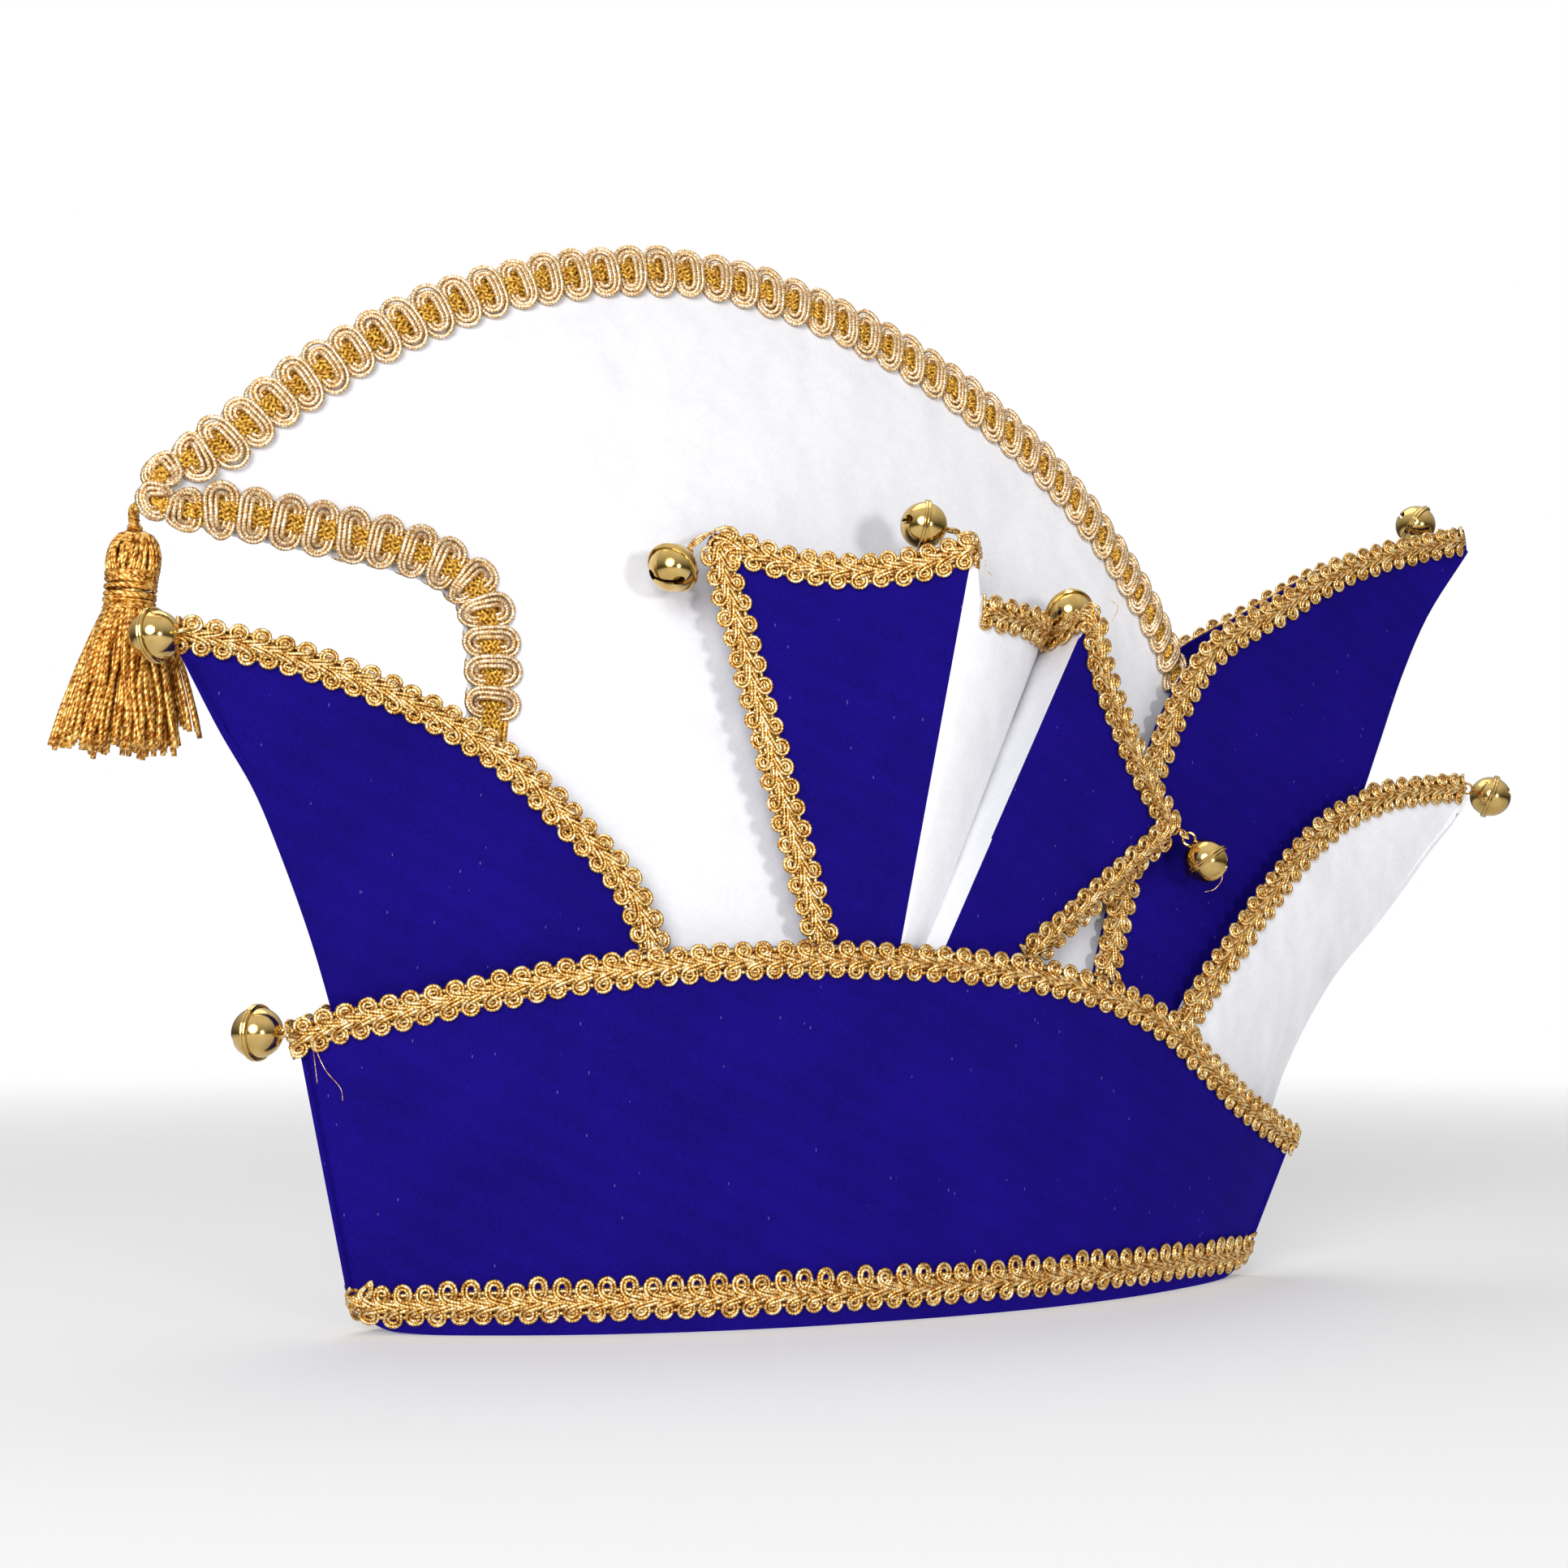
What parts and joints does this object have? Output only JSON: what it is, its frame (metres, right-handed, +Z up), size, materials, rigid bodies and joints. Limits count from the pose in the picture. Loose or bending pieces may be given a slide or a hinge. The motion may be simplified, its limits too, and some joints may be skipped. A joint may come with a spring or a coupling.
{
  "type": "carnival cap",
  "caption": "Stiff upright carnival cap: velvet band, arched satin crown with a curled tip, horns and pleated fans edged in gold braid, jingle bells and a tassel.",
  "frame": {"origin": "middle of the cap's box in X and Y, at the foot of the band", "axes": "+X along the cap away from the tassel, -Y the near side with the pictured fan, +Z up"},
  "size_m": [0.4636, 0.0994, 0.3013],
  "materials": {
    "velvet": "royal blue cotton velvet with a short pile",
    "satin": "white polyester satin with a soft sheen",
    "gold_braid": "metallic gold gimp braid",
    "tassel_thread": "deep gold twisted rayon and metallic thread",
    "brass": "polished brass plate"
  },
  "bodies": {
    "root": {"band": "velvet", "bell_band": "brass", "bell_fan_outer_far_side_far": "brass", "bell_fan_outer_far_side_near": "brass", "bell_fan_outer_tassel_side_far": "brass", "bell_fan_outer_tassel_side_near": "brass", "bell_fan_ridge_far_side_far": "brass", "bell_fan_ridge_far_side_near": "brass", "bell_fan_ridge_tassel_side_far": "brass", "bell_fan_ridge_tassel_side_near": "brass", "bell_horn_blue": "brass", "bell_horn_tassel_end": "brass", "bell_horn_white": "brass", "braid_band": "gold_braid", "braid_crown_arch_far": "gold_braid", "braid_crown_arch_near": "gold_braid", "braid_crown_under_far": "gold_braid", "braid_crown_under_near": "gold_braid", "braid_fan_outer_far_side_far": "gold_braid", "braid_fan_outer_far_side_near": "gold_braid", "braid_fan_outer_tassel_side_far": "gold_braid", "braid_fan_outer_tassel_side_near": "gold_braid", "braid_fan_top_far_side_far": "gold_braid", "braid_fan_top_far_side_near": "gold_braid", "braid_fan_top_tassel_side_far": "gold_braid", "braid_fan_top_tassel_side_near": "gold_braid", "braid_fan_top_white_far": "gold_braid", "braid_fan_top_white_near": "gold_braid", "braid_hem": "gold_braid", "braid_horn_blue_far_end_far": "gold_braid", "braid_horn_blue_far_end_near": "gold_braid", "braid_horn_tassel_end_far": "gold_braid", "braid_horn_tassel_end_near": "gold_braid", "braid_horn_white_far_end_far": "gold_braid", "braid_horn_white_far_end_near": "gold_braid", "crown": "satin", "fan_blue_far_side_far": "velvet", "fan_blue_far_side_near": "velvet", "fan_blue_tassel_side_far": "velvet", "fan_blue_tassel_side_near": "velvet", "fan_white_far": "satin", "fan_white_near": "satin", "horn_blue_far_end": "velvet", "horn_tassel_end": "velvet", "horn_white_far_end": "satin", "tassel": "tassel_thread", "tassel_cord": "tassel_thread"}
  },
  "joints": []
}
